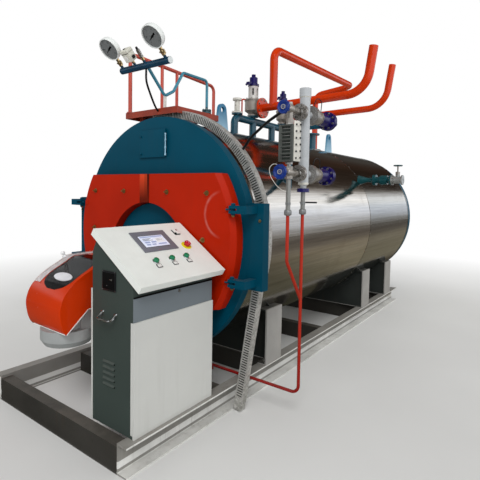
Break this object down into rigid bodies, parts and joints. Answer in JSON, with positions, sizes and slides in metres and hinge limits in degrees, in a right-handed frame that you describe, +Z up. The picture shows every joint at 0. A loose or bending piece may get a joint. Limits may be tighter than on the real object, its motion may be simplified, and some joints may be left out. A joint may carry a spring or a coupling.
{
  "type": "industrial boiler",
  "caption": "Horizontal fire-tube steam boiler on a channel skid, with polished cladding, forward burner, top valves, side level gauge set and operator console.",
  "frame": {"origin": "on the ground below the drum axis, in the plane of the front smoke box face", "axes": "+Z up, +Y along the drum from the front doors to the rear, +X to the right of someone who faces the front doors"},
  "size_m": [2.6305, 5.959, 3.5209],
  "materials": {
    "polished_steel": "polished stainless sheet with fine roller streaks",
    "blue_paint": "dark petrol blue gloss",
    "red_paint": "vermilion red satin",
    "burner_orange": "orange red gloss",
    "burner_grey": "cast, painted grey",
    "burner_dark": "dark cast",
    "skid_grey": "grey primer",
    "galvanised": "galvanised slotted sheet",
    "lug_blue": "light blue",
    "orange_paint": "orange red",
    "rail_paint": "salmon red",
    "teal_paint": "teal",
    "header_teal": "dark teal",
    "syphon_teal": "light teal",
    "gauge_white": "white case",
    "switch_white": "off white",
    "valve_steel": "cast steel",
    "valve_navy": "navy",
    "column_grey": "pale grey",
    "glass_frame": "grey frame",
    "drain_red": "red",
    "feed_green": "dark green teal",
    "strut_white": "white",
    "console_dark": "dark grey green",
    "console_cream": "cream",
    "console_panel": "off white",
    "console_fittings": "grey plastic",
    "spool_white": "white",
    "cable_black": "black sheathed cable"
  },
  "bodies": {
    "root": {"shell_cladding": "polished_steel", "front_smokebox": "blue_paint", "inspection_cover": "blue_paint", "left_front_door": "red_paint", "right_front_door": "red_paint", "furnace_front_plate": "blue_paint", "right_hinge_bracket": "blue_paint", "left_hinge_bracket": "blue_paint", "burner_hood": "burner_orange", "burner_base": "burner_grey", "burner_head": "burner_dark", "rear_smokebox": "blue_paint", "flue_outlet": "blue_paint", "skid_beam_right": "skid_grey", "skid_beam_left": "skid_grey", "skid_cross_members": "skid_grey", "saddle_front": "skid_grey", "saddle_middle": "skid_grey", "saddle_rear": "skid_grey", "cable_tray_arch": "galvanised", "cable_tray_drop": "galvanised", "lifting_lugs": "lug_blue", "top_platform": "orange_paint", "handrail": "rail_paint", "gauge_header": "header_teal", "header_strut": "strut_white", "gauge_left": "gauge_white", "gauge_right": "gauge_white", "pressure_switch": "switch_white", "syphon_pipe": "syphon_teal", "steam_manifold": "teal_paint", "vent_spool": "spool_white", "safety_valve_front": "valve_steel", "safety_valve_rear": "valve_steel", "discharge_pipe_front": "orange_paint", "discharge_pipe_rear": "orange_paint", "vent_loop": "orange_paint", "steam_outlet": "teal_paint", "level_column": "column_grey", "level_valve_upper": "valve_navy", "level_valve_lower": "valve_navy", "level_gauge": "glass_frame", "level_cocks": "valve_steel", "level_drains": "drain_red", "feedwater_valves": "feed_green", "console_body": "console_dark", "console_desk": "console_cream", "console_front_panel": "console_panel", "console_controls": "console_fittings", "gauge_cable": "cable_black", "level_cable": "cable_black"}
  },
  "joints": []
}
